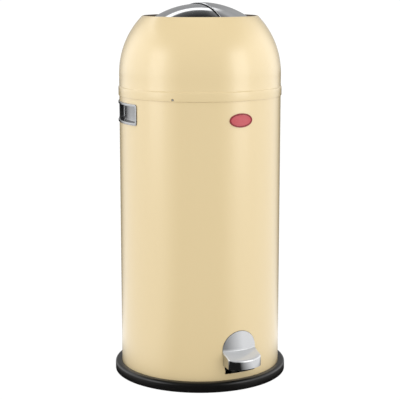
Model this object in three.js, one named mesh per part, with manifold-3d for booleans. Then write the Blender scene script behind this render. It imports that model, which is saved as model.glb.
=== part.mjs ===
// A round pedal bin with a domed hood and two curved lids that part to the left and right.
// Millimetres, +Z up, the origin on the drum's axis at the floor, the pedal towards -Y.
import * as THREE from 'three';
import { mergeVertices } from 'three/addons/utils/BufferGeometryUtils.js';
import Module from 'manifold-3d';

const wasm = await Module();
wasm.setup();

// ---- Driving dimensions -------------------------------------------------------------------

const roundSides = 36;           // facets round the drum, the hood and the liner
const touchGap = 0.3;            // gap between faces that touch
const runGap = 0.4;              // clearance of what slides or turns
const pinHole = 0.3;             // radial clearance of a pin in its hole

const drumRadius = 150;          // outside of the steel drum
const drumWall = 1;
const drumTop = 540.5;           // upper edge of the drum, inside the hood's rim

const trayWidth = 12.5;          // how far the plastic base ring stands out past the drum
const trayHeight = 18;
const trayFloor = 3;
const trayLip = 2.5;             // wall of the base ring
const trayUpstand = 8;           // top of the lip inside the drum

const hoodWall = 1;
const rimWall = 1.2;             // the rim band that slips over the drum
const rimHeight = 14.5;          // how far the rim band reaches down past the drum's edge
const openingRadius = 102.8;
const beadRadius = 2.2;          // rolled edge round the opening

const lidWall = 1;
const lidMargin = 16.5;          // dark gap between the lids and the opening's edge
const lidRise = 25;              // how far the lids stand above the opening
const lidUnderlap = 7.2;         // how far the lids reach under the hood
const lidOverlap = 4;            // the right lid lies over the left one by this much
const lidStep = 1.5;             // space between the two shells, one over the other
const lidAngle = 46;             // how far each lid opens, in degrees
const swingClearance = 4;        // between the open lids and the hood
const apexSpare = 8;             // the lids' crown stays this far inside their rim's swing
const hingeRise = 18;            // lid axis above the drum's edge

const earWall = 2;
const earInset = 10;             // ears stand this far inside the lids' rim
const earPitch = 4.5;            // from one lid's ear to the other's
const earStem = 10;              // width of an ear beside its hub
const hubRadius = 9;
const pivotPinRadius = 4;
const bracketGap = 3;            // from the outer ear to the bracket
const bracketMargin = 9.1;       // metal above and below the drive pins' slots
const crossheadSide = 4.5;       // from the crosshead's end to the bracket's side
const frontBracketHalf = 24;
const bracketFlange = 15;

const liftTravel = 25;           // stroke of the push rod and the crosshead
const drivePinRadius = 3;
const crossheadHeight = 20;
const crossheadWall = 2;
const crossheadGap = 3.5;        // from the bracket to the crosshead
const footHalf = 8;

const rodRadius = 3;
const rodInset = 6.5;            // from the drum's inner face to the rod's axis
const rodCapWall = 1.5;
const collarHeight = 6;
const guideHeight = 10;
const guideHalf = 10;
const lowerGuideZ = 60;
const guideBelowEdge = 50;       // underside of the upper guide below the drum's edge
const springLength = 61;
const springWire = 0.6;          // radius of the wire
const springTurns = 7;

const linerGap = 15.5;           // from the drum's outside to the liner's rim
const linerWall = 0.8;
const linerBead = 3.5;
const linerTopDrop = 18.5;       // liner's rim below the drum's edge
const platformTop = 45;
const platformInset = 24;        // from the drum's outside to the platform's edge
const platformWall = 2;
const bailWire = 2;
const bailDepth = 118;           // the bail's bow, from its pivots to its middle
const bailEarHalf = 10;
const bailGripRadius = 5.5;
const bailGripArc = 40;          // degrees of the bail that the grip covers

const slotHalf = 34.5;           // half width of the pedal slot
const slotBottom = 29;
const slotSide = 73.5;           // height at which the slot's round top begins
const slotGap = 0.6;             // round the pedal in its slot
const pedalWall = 1.5;
const pedalReach = 30;           // nose of the tread beyond the drum
const pedalNose = 14;            // depth of the tread's rounded end
const treadCrease = 70;          // height of the tread where it meets the drum
const treadDrop = 10;            // the tread falls this far to its nose
const skirtRoot = 45.5;          // lower edge of the skirt at the drum and at the nose
const skirtNose = 43;

const leverHalf = 12;
const leverWall = 4;
const leverPivotY = -38;
const leverPivotZ = 22;
const leverHub = 6.5;
const leverRearZ = 12;
const leverRiser = 11;           // from the drum's outside to the lever's upright part
const leverLow = 30;             // height of the lever where it turns up
const axleRadius = 3;
const pedalBracketWall = 2;
const pedalBracketHalf = 12;
const pedalRivetX = 7;
const pedalRivetRadius = 2;

const gripAngle = -101;          // round the drum from the front, in degrees
const gripBelowEdge = 43.5;      // middle of the grip below the drum's edge
const gripWidth = 122;
const gripTall = 38.5;
const gripCorner = 5;
const gripRim = 5;               // width of the chrome frame
const gripProud = 1.6;
const gripDepth = 10;
const gripWall = 1.2;

const badgeBelowEdge = 48.5;     // middle of the badge below the drum's edge
const badgeWidth = 46;
const badgeTall = 25;
const badgeRim = 2.6;
const badgeProud = 1.5;
const badgeField = 0.8;

const locatorAngle = -47.5;
const locatorBelowEdge = 11.5;
const locatorRadius = 1.8;

// ---- Sizes that follow --------------------------------------------------------------------

const rad = THREE.MathUtils.degToRad;
const drumInside = drumRadius - drumWall;
const trayRadius = drumRadius + trayWidth;
const hoodInside = drumRadius - hoodWall;
const rimInside = drumRadius + touchGap;
const rimBottom = drumTop - rimHeight;
const gripHeight = drumTop - gripBelowEdge;
const badgeHeight = drumTop - badgeBelowEdge;
const locatorHeight = drumTop - locatorBelowEdge;

const hingeZ = drumTop + hingeRise;
const lidSwing = hoodInside - swingClearance;
const lidTopZ = hingeZ + lidSwing - apexSpare;
const openingZ = lidTopZ - lidRise;
const beadCentre = openingRadius + beadRadius;
const domeEnd = beadCentre + beadRadius;
const domeZ = openingZ - Math.sqrt(drumRadius ** 2 - domeEnd ** 2);
const lidReach = openingRadius - lidMargin;
const lidRim = openingRadius + lidUnderlap;
const upperLidRadius = (lidReach ** 2 + lidRise ** 2) / (2 * lidRise);
const lowerLidRadius = upperLidRadius - lidWall - lidStep;
const lidCentreZ = lidTopZ - upperLidRadius;

const rightEarY = lidRim - earInset;
const leftEarY = rightEarY + earPitch;
const webY = leftEarY + bracketGap + earWall;
const crossheadY = webY + crossheadGap + crossheadWall;
const pivotPinEnd = webY + 2;
const drivePinX = liftTravel / 2 / Math.tan(rad(lidAngle / 2));
const drivePinZ = hingeZ - liftTravel / 2;
const crossheadZ = drivePinZ - crossheadHeight / 2;
const crossheadHalf = drivePinX + 2 * drivePinRadius;
const rearBracketHalf = crossheadHalf + crossheadSide + earWall;
const bracketHeight = liftTravel + 2 * (drivePinRadius + runGap + bracketMargin);

const rodY = drumInside - rodInset;
const rodFootZ = leverRearZ + leverWall / 2 + 0.6;
const rodTop = crossheadZ - 0.5;
const upperGuideZ = drumTop - guideBelowEdge;
const guideFront = rodY - rodRadius - pinHole - rodCapWall;
const springTop = upperGuideZ - touchGap;
const collarZ = springTop - springLength - touchGap - collarHeight;

const linerRim = drumRadius - linerGap;
const linerRadius = linerRim - linerBead;
const linerTop = drumTop - linerTopDrop;
const linerBottom = platformTop + touchGap;
const bailZ = linerTop + bailWire + 0.8;
const bailHalf = linerRim - bailWire;

const slotTop = slotSide + slotHalf;
const pedalHalf = slotHalf - slotGap;
const pedalBack = drumRadius - 0.6;

// ---- Shape helpers ------------------------------------------------------------------------

const point = (x, y) => new THREE.Vector2(x, y);
const xAxis = new THREE.Vector3(1, 0, 0);
const yAxis = new THREE.Vector3(0, 1, 0);
const zAxis = new THREE.Vector3(0, 0, 1);

// A closed three.js geometry as a solid that can be joined and cut.
function solid(geometry) {
  const bare = geometry.clone();
  bare.deleteAttribute('normal');
  bare.deleteAttribute('uv');
  const merged = mergeVertices(bare, 1e-4);
  const corners = merged.index.array;
  const triangles = [];
  for (let i = 0; i < corners.length; i += 3) {
    const [a, b, c] = corners.slice(i, i + 3);
    if (a !== b && b !== c && c !== a) triangles.push(a, b, c);
  }
  return new wasm.Manifold(new wasm.Mesh({
    numProp: 3,
    vertProperties: Float32Array.from(merged.attributes.position.array),
    triVerts: Uint32Array.from(triangles),
  }));
}

// Points on an arc, with angles in degrees from the first axis towards the second.
function arc(centreX, centreY, radius, from, to, steps) {
  const points = [];
  for (let i = 0; i <= steps; i++) {
    const angle = rad(from + (to - from) * i / steps);
    points.push(point(centreX + radius * Math.cos(angle), centreY + radius * Math.sin(angle)));
  }
  return points;
}

// A solid of revolution about Z from a profile of (radius, height) that closes on itself.
function turned(profile, sides = roundSides) {
  const loop = profile.map((p) => p.clone());
  if (THREE.ShapeUtils.area(loop) < 0) loop.reverse();
  loop.push(loop[0].clone());
  const geometry = new THREE.LatheGeometry(loop, sides);
  geometry.rotateX(Math.PI / 2);
  return solid(geometry);
}

function ring(inner, outer, low, high, sides = roundSides) {
  return turned([point(inner, low), point(outer, low), point(outer, high), point(inner, high)], sides);
}

function shapeOf(points) {
  return new THREE.Shape(points);
}

function extruded(shape, depth) {
  return new THREE.ExtrudeGeometry(shape, { depth, bevelEnabled: false, curveSegments: 8 });
}

// A plate drawn in X and Z, from yLow to yHigh.
function plateAcross(shape, yLow, yHigh) {
  const geometry = extruded(shape, yHigh - yLow);
  geometry.rotateX(Math.PI / 2);
  geometry.translate(0, yHigh, 0);
  return solid(geometry);
}

// A plate drawn in Y and Z, from xLow to xHigh.
function plateAlong(shape, xLow, xHigh) {
  const geometry = extruded(shape, xHigh - xLow);
  geometry.applyMatrix4(new THREE.Matrix4().makeBasis(yAxis, zAxis, xAxis));
  geometry.translate(xLow, 0, 0);
  return solid(geometry);
}

// A plate drawn in X and Y, from zLow to zHigh.
function plateFlat(shape, zLow, zHigh) {
  const geometry = extruded(shape, zHigh - zLow);
  geometry.translate(0, 0, zLow);
  return solid(geometry);
}

// A prism that points out from the axis at an angle from the front, drawn as a viewer sees it.
function radialPrism(shape, degrees, height, near, far) {
  const angle = rad(degrees);
  const outward = new THREE.Vector3(Math.sin(angle), -Math.cos(angle), 0);
  const sideways = new THREE.Vector3(Math.cos(angle), Math.sin(angle), 0);
  const geometry = extruded(shape, far - near);
  geometry.translate(0, 0, near);
  geometry.applyMatrix4(new THREE.Matrix4().makeBasis(sideways, zAxis, outward));
  geometry.translate(0, 0, height);
  return solid(geometry);
}

function box(xLow, xHigh, yLow, yHigh, zLow, zHigh) {
  const geometry = new THREE.BoxGeometry(xHigh - xLow, yHigh - yLow, zHigh - zLow);
  geometry.translate((xLow + xHigh) / 2, (yLow + yHigh) / 2, (zLow + zHigh) / 2);
  return solid(geometry);
}

function barX(radius, xLow, xHigh, y, z, sides = 12) {
  const geometry = new THREE.CylinderGeometry(radius, radius, xHigh - xLow, sides);
  geometry.rotateZ(Math.PI / 2);
  geometry.translate((xLow + xHigh) / 2, y, z);
  return solid(geometry);
}

function barY(radius, x, yLow, yHigh, z, sides = 12) {
  const geometry = new THREE.CylinderGeometry(radius, radius, yHigh - yLow, sides);
  geometry.translate(x, (yLow + yHigh) / 2, z);
  return solid(geometry);
}

function barZ(radius, x, y, zLow, zHigh, sides = 12) {
  const geometry = new THREE.CylinderGeometry(radius, radius, zHigh - zLow, sides);
  geometry.rotateX(Math.PI / 2);
  geometry.translate(x, y, (zLow + zHigh) / 2);
  return solid(geometry);
}

function roundedRect(width, height, corner) {
  const x = width / 2 - corner;
  const y = height / 2 - corner;
  return shapeOf([
    ...arc(x, -y, corner, -90, 0, 4), ...arc(x, y, corner, 0, 90, 4),
    ...arc(-x, y, corner, 90, 180, 4), ...arc(-x, -y, corner, 180, 270, 4),
  ]);
}

// An oval plate's outline, smaller all round by an inset.
function badgeOval(inset) {
  const steps = Array.from({ length: 28 }, (_, i) => 2 * Math.PI * i / 28);
  return shapeOf(steps.map((t) => point((badgeWidth / 2 - inset) * Math.cos(t), (badgeTall / 2 - inset) * Math.sin(t))));
}

// A straight slot or link with round ends, from one distance to another along a direction.
function link(x, z, direction, from, to, radius) {
  const step = point(Math.cos(rad(direction)), Math.sin(rad(direction)));
  return shapeOf([
    ...arc(x + step.x * to, z + step.y * to, radius, direction - 90, direction + 90, 8),
    ...arc(x + step.x * from, z + step.y * from, radius, direction + 90, direction + 270, 8),
  ]);
}

// An arch: straight sides from a level bottom, with a round top.
function arch(half, bottom, centre) {
  return shapeOf([point(-half, bottom), point(half, bottom), ...arc(0, centre, half, 0, 180, 14)]);
}

// The outline of a strip that keeps its thickness along a bent line.
function bentStrip(line, thickness) {
  const sideOf = (sign) => line.map((p, i) => {
    const before = line[Math.max(i - 1, 0)];
    const after = line[Math.min(i + 1, line.length - 1)];
    const into = p.clone().sub(before).normalize();
    const out = after.clone().sub(p).normalize();
    const along = into.clone().add(out).normalize();
    const spread = i === 0 || i === line.length - 1 ? 1 : 1 / along.dot(out);
    return point(p.x - along.y * sign * spread * thickness / 2, p.y + along.x * sign * spread * thickness / 2);
  });
  return shapeOf([...sideOf(-1), ...sideOf(1).reverse()]);
}

const finishes = {
  cream: { color: 0xf3e2bd, roughness: 0.35, metalness: 0 },
  chrome: { color: 0xc9ccce, roughness: 0.12, metalness: 1 },
  steel: { color: 0x9a9c9c, roughness: 0.4, metalness: 1 },
  zinc: { color: 0xb4b8ba, roughness: 0.5, metalness: 0.9 },
  black: { color: 0x1a1918, roughness: 0.45, metalness: 0 },
  nylon: { color: 0xd8d6cf, roughness: 0.6, metalness: 0 },
  red: { color: 0x9c2f34, roughness: 0.3, metalness: 0 },
  rubber: { color: 0x121212, roughness: 0.8, metalness: 0 },
};

const bin = new THREE.Group();

function add(name, body, finish) {
  const { vertProperties, triVerts } = body.getMesh();
  const geometry = new THREE.BufferGeometry();
  geometry.setAttribute('position', new THREE.BufferAttribute(Float32Array.from(vertProperties), 3));
  geometry.setIndex(new THREE.BufferAttribute(Uint32Array.from(triVerts), 1));
  geometry.computeVertexNormals();
  const mesh = new THREE.Mesh(geometry, new THREE.MeshStandardMaterial(finishes[finish]));
  mesh.name = name;
  bin.add(mesh);
}

// ---- Base and drum ------------------------------------------------------------------------

function baseTray() {
  const inner = drumInside - touchGap;
  const recess = trayRadius - trayLip;
  return turned([
    point(0, 0), point(drumRadius + trayLip, 0), point(drumRadius + trayLip, trayHeight - 7),
    point(recess, trayHeight - 7), point(recess, 0), point(trayRadius, 0),
    point(trayRadius, trayHeight - 5), point(trayRadius - 1.6, trayHeight - 2),
    point(trayRadius - 5, trayHeight - 0.5), point(drumRadius + touchGap, trayHeight),
    point(drumRadius + touchGap, trayFloor), point(inner, trayFloor), point(inner, trayUpstand),
    point(inner - trayLip, trayUpstand), point(inner - trayLip, trayFloor), point(0, trayFloor),
  ]);
}

function gripOpening(margin) {
  return radialPrism(
    roundedRect(gripWidth - 2 * gripRim + 2 * margin, gripTall - 2 * gripRim + 2 * margin, gripCorner),
    gripAngle, gripHeight, drumRadius - 40, drumRadius + 10,
  );
}

function drumShell() {
  const locatorHole = link(0, 0, 0, 0, 0, locatorRadius + pinHole);
  return ring(drumInside, drumRadius, trayFloor + touchGap, drumTop)
    .subtract(plateAcross(arch(slotHalf, slotBottom, slotSide), -drumRadius - 5, -drumRadius / 2))
    .subtract(gripOpening(gripWall + touchGap))
    .subtract(radialPrism(locatorHole, locatorAngle, locatorHeight, drumRadius - 5, drumRadius + 5));
}

function locatingPin() {
  return radialPrism(link(0, 0, 0, 0, 0, locatorRadius), locatorAngle, locatorHeight,
    drumInside - 2, rimInside + rimWall + 0.4);
}

function gripFrame() {
  const outline = radialPrism(roundedRect(gripWidth, gripTall, gripCorner + 2), gripAngle, gripHeight,
    drumRadius - 40, drumRadius + 10);
  return ring(drumRadius + touchGap, drumRadius + touchGap + gripProud, gripHeight - 40, gripHeight + 40)
    .intersect(outline).subtract(gripOpening(0));
}

function gripCup() {
  const outside = ring(drumRadius - gripDepth, drumRadius, gripHeight - 40, gripHeight + 40)
    .intersect(gripOpening(gripWall));
  const inside = ring(drumRadius - gripDepth + gripWall, drumRadius + 5, gripHeight - 40, gripHeight + 40)
    .intersect(gripOpening(0));
  return outside.subtract(inside);
}

function badgeFrame() {
  return ring(drumRadius + touchGap, drumRadius + badgeProud, badgeHeight - 30, badgeHeight + 30)
    .intersect(radialPrism(badgeOval(0), 0, badgeHeight, drumRadius - 9, drumRadius + 9))
    .subtract(radialPrism(badgeOval(badgeRim), 0, badgeHeight, drumRadius - 9, drumRadius + 9));
}

function badgeInlay() {
  return ring(drumRadius + touchGap, drumRadius + touchGap + badgeField, badgeHeight - 30, badgeHeight + 30)
    .intersect(radialPrism(badgeOval(badgeRim + touchGap), 0, badgeHeight, drumRadius - 9, drumRadius + 9));
}

function linerPlatform() {
  const outer = drumRadius - platformInset;
  const low = trayFloor + touchGap;
  const shelf = turned([
    point(0, platformTop - platformWall), point(outer - platformWall, platformTop - platformWall),
    point(outer - platformWall, low), point(outer, low), point(outer, platformTop), point(0, platformTop),
  ]);
  return shelf.subtract(box(-leverHalf - 4, leverHalf + 4, -outer - 5, outer + 5,
    0, platformTop - platformWall - 1));
}

// ---- Pedal --------------------------------------------------------------------------------

// Height of the tread's upper face at a distance y from the axis.
function treadZ(y) {
  return treadCrease - treadDrop * (-y - drumRadius) / pedalReach;
}

function treadPlan(inset) {
  const half = pedalHalf - inset;
  const bend = -drumRadius - pedalReach + pedalNose;
  const nose = [];
  for (let i = 0; i <= 12; i++) {
    const angle = rad(180 * i / 12);
    nose.push(point(-half * Math.cos(angle), bend - (pedalNose - inset) * Math.sin(angle)));
  }
  return shapeOf([point(-half, -drumRadius / 2), ...nose, point(half, -drumRadius / 2)].reverse());
}

function pedalPlate() {
  const near = -drumRadius / 2;
  const far = -drumRadius - pedalReach - 5;
  const fall = (skirtRoot - skirtNose) / pedalReach;
  const skirtZ = (y) => skirtRoot + fall * (y + drumRadius);
  const side = shapeOf([point(far, skirtZ(far)), point(near, skirtZ(near)),
    point(near, treadZ(near)), point(far, treadZ(far))]);
  const hollow = shapeOf([point(far, 0), point(near, 0),
    point(near, treadZ(near) - pedalWall), point(far, treadZ(far) - pedalWall)]);
  const tall = treadCrease + 60;
  const tread = plateFlat(treadPlan(0), 0, tall)
    .intersect(plateAlong(side, -pedalHalf - 5, pedalHalf + 5))
    .subtract(plateFlat(treadPlan(pedalWall), 0, tall)
      .intersect(plateAlong(hollow, -pedalHalf - 5, pedalHalf + 5)))
    .subtract(turned([point(0, 0), point(pedalBack, 0), point(pedalBack, tall), point(0, tall)]));
  const shieldLow = treadCrease - pedalWall / 2;
  const shield = ring(pedalBack, pedalBack + pedalWall, shieldLow, slotTop)
    .intersect(plateAcross(arch(pedalHalf, shieldLow, slotSide), -drumRadius - 5, -drumRadius / 2));
  return tread.add(shield);
}

// Middle of the lever's front flange, which lies under the tread.
function flangeZ(y) {
  return treadZ(y) - pedalWall - touchGap - leverWall / 2 - 0.4;
}

function pedalLever() {
  const riserY = -drumRadius + leverRiser;
  const noseY = -drumRadius - pedalReach + 8;
  const strip = bentStrip([
    point(rodY + 2, leverRearZ), point(leverPivotY, leverPivotZ), point(riserY, leverLow),
    point(riserY - 1, flangeZ(riserY - 1)), point(noseY, flangeZ(noseY)),
  ], leverWall);
  return plateAlong(strip, -leverHalf, leverHalf)
    .add(barX(leverHub, -leverHalf - 1, leverHalf + 1, leverPivotY, leverPivotZ, 16))
    .subtract(barX(axleRadius + pinHole, -leverHalf - 5, leverHalf + 5, leverPivotY, leverPivotZ))
    .subtract(pedalRivetShank(-1, pinHole)).subtract(pedalRivetShank(1, pinHole));
}

const pedalRivetY = -drumRadius - pedalReach / 2 + 2;

function pedalRivetShank(side, margin) {
  const top = treadZ(pedalRivetY) - pedalWall - touchGap - 0.8;
  return barZ(pedalRivetRadius + margin, side * pedalRivetX, pedalRivetY, top - 9 - margin, top + margin, 12);
}

function pedalRivet(side) {
  const head = flangeZ(pedalRivetY) - leverWall / 2 - 1.8;
  return pedalRivetShank(side, 0)
    .add(barZ(pedalRivetRadius * 1.8, side * pedalRivetX, pedalRivetY, head - 2, head, 12));
}

function pedalBracket(side) {
  const near = leverHalf + 1 + touchGap;
  const low = trayFloor + touchGap;
  const outline = shapeOf([
    point(leverPivotY - pedalBracketHalf, low), point(leverPivotY + pedalBracketHalf, low),
    ...arc(leverPivotY, leverPivotZ, hubRadius, 0, 180, 10),
  ]);
  const upright = plateAlong(outline, near, near + pedalBracketWall);
  const foot = box(near, near + 16, leverPivotY - pedalBracketHalf, leverPivotY + pedalBracketHalf,
    low, low + pedalBracketWall);
  const hole = barX(axleRadius + pinHole, 0, near + 20, leverPivotY, leverPivotZ);
  const bracket = upright.add(foot).subtract(hole);
  return side > 0 ? bracket : bracket.mirror([1, 0, 0]);
}

const axleClipX = leverHalf + 1 + pedalBracketWall + 2 * touchGap;

function pedalAxle() {
  const end = axleClipX + 3.5;
  return barX(axleRadius, -end, end, leverPivotY, leverPivotZ);
}

function axleClip(side) {
  const clip = barX(axleRadius * 2, axleClipX, axleClipX + 1.5, leverPivotY, leverPivotZ)
    .subtract(barX(axleRadius + pinHole, 0, axleClipX + 9, leverPivotY, leverPivotZ));
  return side > 0 ? clip : clip.mirror([1, 0, 0]);
}

// ---- Push rod -----------------------------------------------------------------------------

function pushRod() {
  return barZ(rodRadius, 0, rodY, rodFootZ + 3.5, rodTop);
}

function rodFoot() {
  return barZ(rodRadius + rodCapWall, 0, rodY, rodFootZ, rodFootZ + 12)
    .subtract(barZ(rodRadius + pinHole, 0, rodY, rodFootZ + 3.2, rodFootZ + 20));
}

function rodCollar() {
  return barZ(rodRadius + 2, 0, rodY, collarZ, collarZ + collarHeight)
    .subtract(barZ(rodRadius + pinHole, 0, rodY, collarZ - 5, collarZ + collarHeight + 5));
}

function rodGuide(low) {
  return ring(guideFront - 5, drumInside - touchGap, low, low + guideHeight)
    .intersect(box(-guideHalf, guideHalf, guideFront, drumRadius, low - 5, low + guideHeight + 5))
    .subtract(barZ(rodRadius + pinHole, 0, rodY, low - 5, low + guideHeight + 5));
}

class Helix extends THREE.Curve {
  constructor(radius, length, turns) {
    super();
    this.radius = radius;
    this.length = length;
    this.turns = turns;
  }

  getPoint(t, target = new THREE.Vector3()) {
    const angle = 2 * Math.PI * this.turns * t;
    return target.set(this.radius * Math.cos(angle), this.radius * Math.sin(angle), this.length * t);
  }
}

function returnSpring() {
  const section = shapeOf(arc(0, 0, springWire, 0, 270, 3));
  const coil = new Helix(rodRadius + 1.2 + springWire, springLength - 2 * springWire - 0.6, springTurns);
  const geometry = new THREE.ExtrudeGeometry(section,
    { steps: springTurns * 9, bevelEnabled: false, extrudePath: coil });
  geometry.translate(0, rodY, springTop - springLength + springWire + 0.3);
  return solid(geometry);
}

// ---- Hood ---------------------------------------------------------------------------------

// The dome's curve from its widest point up to the radius where the rolled edge begins.
function domeArc(radius, end, inset = 0) {
  const stop = THREE.MathUtils.radToDeg(Math.acos(end / radius));
  return arc(0, domeZ, radius - inset, 0, stop, 5);
}

function hoodDome() {
  const beadZ = openingZ - 1.3;
  const inside = beadRadius - hoodWall;
  const notch = link(0, 0, 90, -10, 0, locatorRadius + runGap);
  return turned([
    point(rimInside, rimBottom), point(rimInside + rimWall, rimBottom),
    point(rimInside + rimWall, drumTop + 1), point(drumRadius, drumTop + 2.5),
    ...domeArc(drumRadius, domeEnd),
    ...arc(beadCentre, beadZ, beadRadius, 45, 180, 3),
    point(openingRadius, beadZ - 3), point(openingRadius + hoodWall, beadZ - 3),
    ...arc(beadCentre, beadZ, inside, 180, 45, 2),
    ...domeArc(hoodInside, domeEnd - 1.1).reverse(),
    point(hoodInside, drumTop + 1.1), point(rimInside, drumTop + touchGap),
  ]).subtract(radialPrism(notch, locatorAngle, locatorHeight, drumRadius - 5, drumRadius + 9));
}

// The space inside the hood's wall, or a little less.
function hoodSpace(inset) {
  const curve = domeArc(hoodInside, domeEnd - 1.1, inset);
  return turned([point(0, rimBottom), point(hoodInside - inset, rimBottom), ...curve,
    point(0, curve[curve.length - 1].y)]);
}

// A bent channel from the hood's wall to the plate that carries a lid pin.
function hingeBracket(half, front, slotted) {
  const low = hingeZ - bracketHeight / 2;
  const high = hingeZ + bracketHeight / 2;
  const channel = box(-half, half, webY - earWall, drumRadius, low, high)
    .subtract(box(-half + earWall, half - earWall, webY, drumRadius + 5, low - 5, high + 5));
  const flanges = hoodSpace(touchGap).subtract(hoodSpace(touchGap + earWall))
    .intersect(box(-half - bracketFlange, half + bracketFlange, webY, drumRadius, low, high))
    .subtract(box(-half + 1, half - 1, webY, drumRadius + 5, low - 5, high + 5));
  const bracket = channel
    .intersect(hoodSpace(touchGap)).add(flanges)
    .subtract(barY(pivotPinRadius + pinHole, 0, webY - 9, webY + 9, hingeZ));
  const slot = (x) => plateAcross(link(x, drivePinZ, 90, 0, liftTravel, drivePinRadius + runGap),
    webY - 9, webY + 9);
  const cut = slotted ? bracket.subtract(slot(-drivePinX)).subtract(slot(drivePinX)) : bracket;
  return front ? cut.mirror([0, 1, 0]) : cut;
}

function pivotPin(front) {
  const head = rightEarY - earWall - touchGap;
  const pin = barY(pivotPinRadius, 0, head - 1, pivotPinEnd, hingeZ)
    .add(barY(pivotPinRadius * 1.5, 0, head - 2, head, hingeZ));
  return front ? pin.mirror([0, 1, 0]) : pin;
}

// A washer that keeps the two lids' ears apart.
function pivotSpacer(front) {
  const low = rightEarY + touchGap;
  const high = leftEarY - earWall - touchGap;
  const washer = barY(hubRadius - 2, 0, low, high, hingeZ)
    .subtract(barY(pivotPinRadius + pinHole, 0, low - 5, high + 5, hingeZ));
  return front ? washer.mirror([0, 1, 0]) : washer;
}

// ---- Crosshead ----------------------------------------------------------------------------

function crosshead() {
  const plate = box(-crossheadHalf, crossheadHalf, crossheadY - crossheadWall, crossheadY,
    crossheadZ, crossheadZ + crossheadHeight);
  const foot = box(-footHalf, footHalf, crossheadY - crossheadWall, rodY + rodRadius,
    crossheadZ, crossheadZ + 3);
  const hole = (x) => barY(drivePinRadius + pinHole, x, crossheadY - 9, crossheadY + 9, drivePinZ);
  return plate.add(foot).subtract(hole(-drivePinX)).subtract(hole(drivePinX));
}

function drivePin(side) {
  const tip = rightEarY - earWall - 1;
  const head = crossheadY + touchGap;
  return barY(drivePinRadius, side * drivePinX, tip, head + 1, drivePinZ)
    .add(barY(drivePinRadius * 1.5, side * drivePinX, head, head + 1.5, drivePinZ));
}

// ---- Lids ---------------------------------------------------------------------------------

// One face of a lid: the crown's curve down to its rim.
function lidArc(radius, rim, inset = 0) {
  const stop = THREE.MathUtils.radToDeg(Math.acos(rim / radius));
  return arc(0, lidCentreZ, radius - inset, stop, 90, 6);
}

function lidCap(radius, wall, rim) {
  return turned([...lidArc(radius, rim), ...lidArc(radius - wall, rim - wall / 2).reverse()]);
}

// The space under a lid's shell.
function underLid(radius) {
  const curve = lidArc(radius - lidWall, lidRim - lidWall / 2, touchGap);
  return turned([point(0, rimBottom), point(curve[0].x, rimBottom), ...curve]);
}

function rightLid() {
  return lidCap(upperLidRadius, lidWall, lidRim)
    .intersect(box(-lidOverlap, drumRadius, -drumRadius, drumRadius, hingeZ, lidTopZ + 9));
}

function leftLid() {
  return lidCap(lowerLidRadius, lidWall, lidRim)
    .intersect(box(-drumRadius, 0, -drumRadius, drumRadius, hingeZ, lidTopZ + 9));
}

// A rubber strip under the right lid's edge, which rests on the left lid.
function lidSeal() {
  return lidCap(upperLidRadius - lidWall - touchGap, lidStep - 2 * touchGap, lidRim - 2)
    .intersect(box(-lidOverlap + 0.5, -0.5, -drumRadius, drumRadius, hingeZ, lidTopZ + 9));
}

// An ear hangs each lid from its pin: a narrow stem beside the hub that widens under the shell.
function lidEar(side, outerY, shellRadius) {
  const reach = Math.sqrt((lidRim - 1) ** 2 - outerY ** 2) - 2;
  const top = lidTopZ;
  const outline = shapeOf([
    point(-side * earStem / 2, hingeZ), point(side * earStem / 2, hingeZ),
    point(side * earStem / 2, hingeZ + 42), point(side * reach, hingeZ + 75),
    point(side * reach, top), point(side * 2, top), point(side * 2, hingeZ + 60),
    point(-side * earStem / 2, hingeZ + 42),
  ]);
  return plateAcross(outline, outerY - earWall, outerY)
    .intersect(underLid(shellRadius))
    .add(barY(hubRadius, 0, outerY - earWall, outerY, hingeZ, 16));
}

function earHole(outerY) {
  return barY(pivotPinRadius + pinHole, 0, outerY - earWall - 5, outerY + 5, hingeZ);
}

function frontEar(side, outerY, shellRadius) {
  return lidEar(side, outerY, shellRadius).subtract(earHole(outerY)).mirror([0, 1, 0]);
}

// The rear ear also has a slotted arm on the far side of the hub, which the crosshead lifts.
function rearCrank(side, outerY, shellRadius) {
  const direction = side > 0 ? 180 + lidAngle / 2 : -lidAngle / 2;
  const far = drivePinX / Math.cos(rad(lidAngle / 2)) + 0.6;
  const slotRadius = drivePinRadius + runGap;
  const arm = plateAcross(link(0, hingeZ, direction, 0, far, slotRadius + 3.6), outerY - earWall, outerY);
  const slot = plateAcross(link(0, hingeZ, direction, drivePinX - 0.6, far, slotRadius),
    outerY - earWall - 5, outerY + 5);
  return lidEar(side, outerY, shellRadius).add(arm).subtract(slot).subtract(earHole(outerY));
}

// ---- Liner --------------------------------------------------------------------------------

function linerBucket() {
  const inner = linerRadius - linerWall;
  const beadZ = linerTop - linerBead;
  return turned([
    point(0, linerBottom), point(linerRadius - 4, linerBottom), point(linerRadius, linerBottom + 4),
    point(linerRadius, beadZ - 1.5), point(linerRadius + 1.5, beadZ - 1.5),
    point(linerRim, beadZ), point(linerRim, linerTop - 1), point(linerRim - 1, linerTop),
    point(inner + 1, linerTop), point(inner, linerTop - 1), point(inner, linerBottom + 4.5),
    point(inner - 3.6, linerBottom + linerWall), point(0, linerBottom + linerWall),
  ]);
}

// The ear is flat, so it clears the round wall at its own edges and at the wall's facets.
const bailEarX = Math.sqrt((linerRadius - linerWall) ** 2 - bailEarHalf ** 2)
  * Math.cos(Math.PI / roundSides) - touchGap;

function bailEar(side) {
  const low = linerTop - 30;
  const outline = shapeOf([point(-bailEarHalf, low), point(bailEarHalf, low),
    ...arc(0, bailZ, bailWire + 4, 0, 180, 8)]);
  const ear = plateAlong(outline, bailEarX - 1.6, bailEarX)
    .subtract(barX(bailWire + pinHole, 0, drumRadius, 0, bailZ));
  return side > 0 ? ear : ear.mirror([1, 0, 0]);
}

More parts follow.
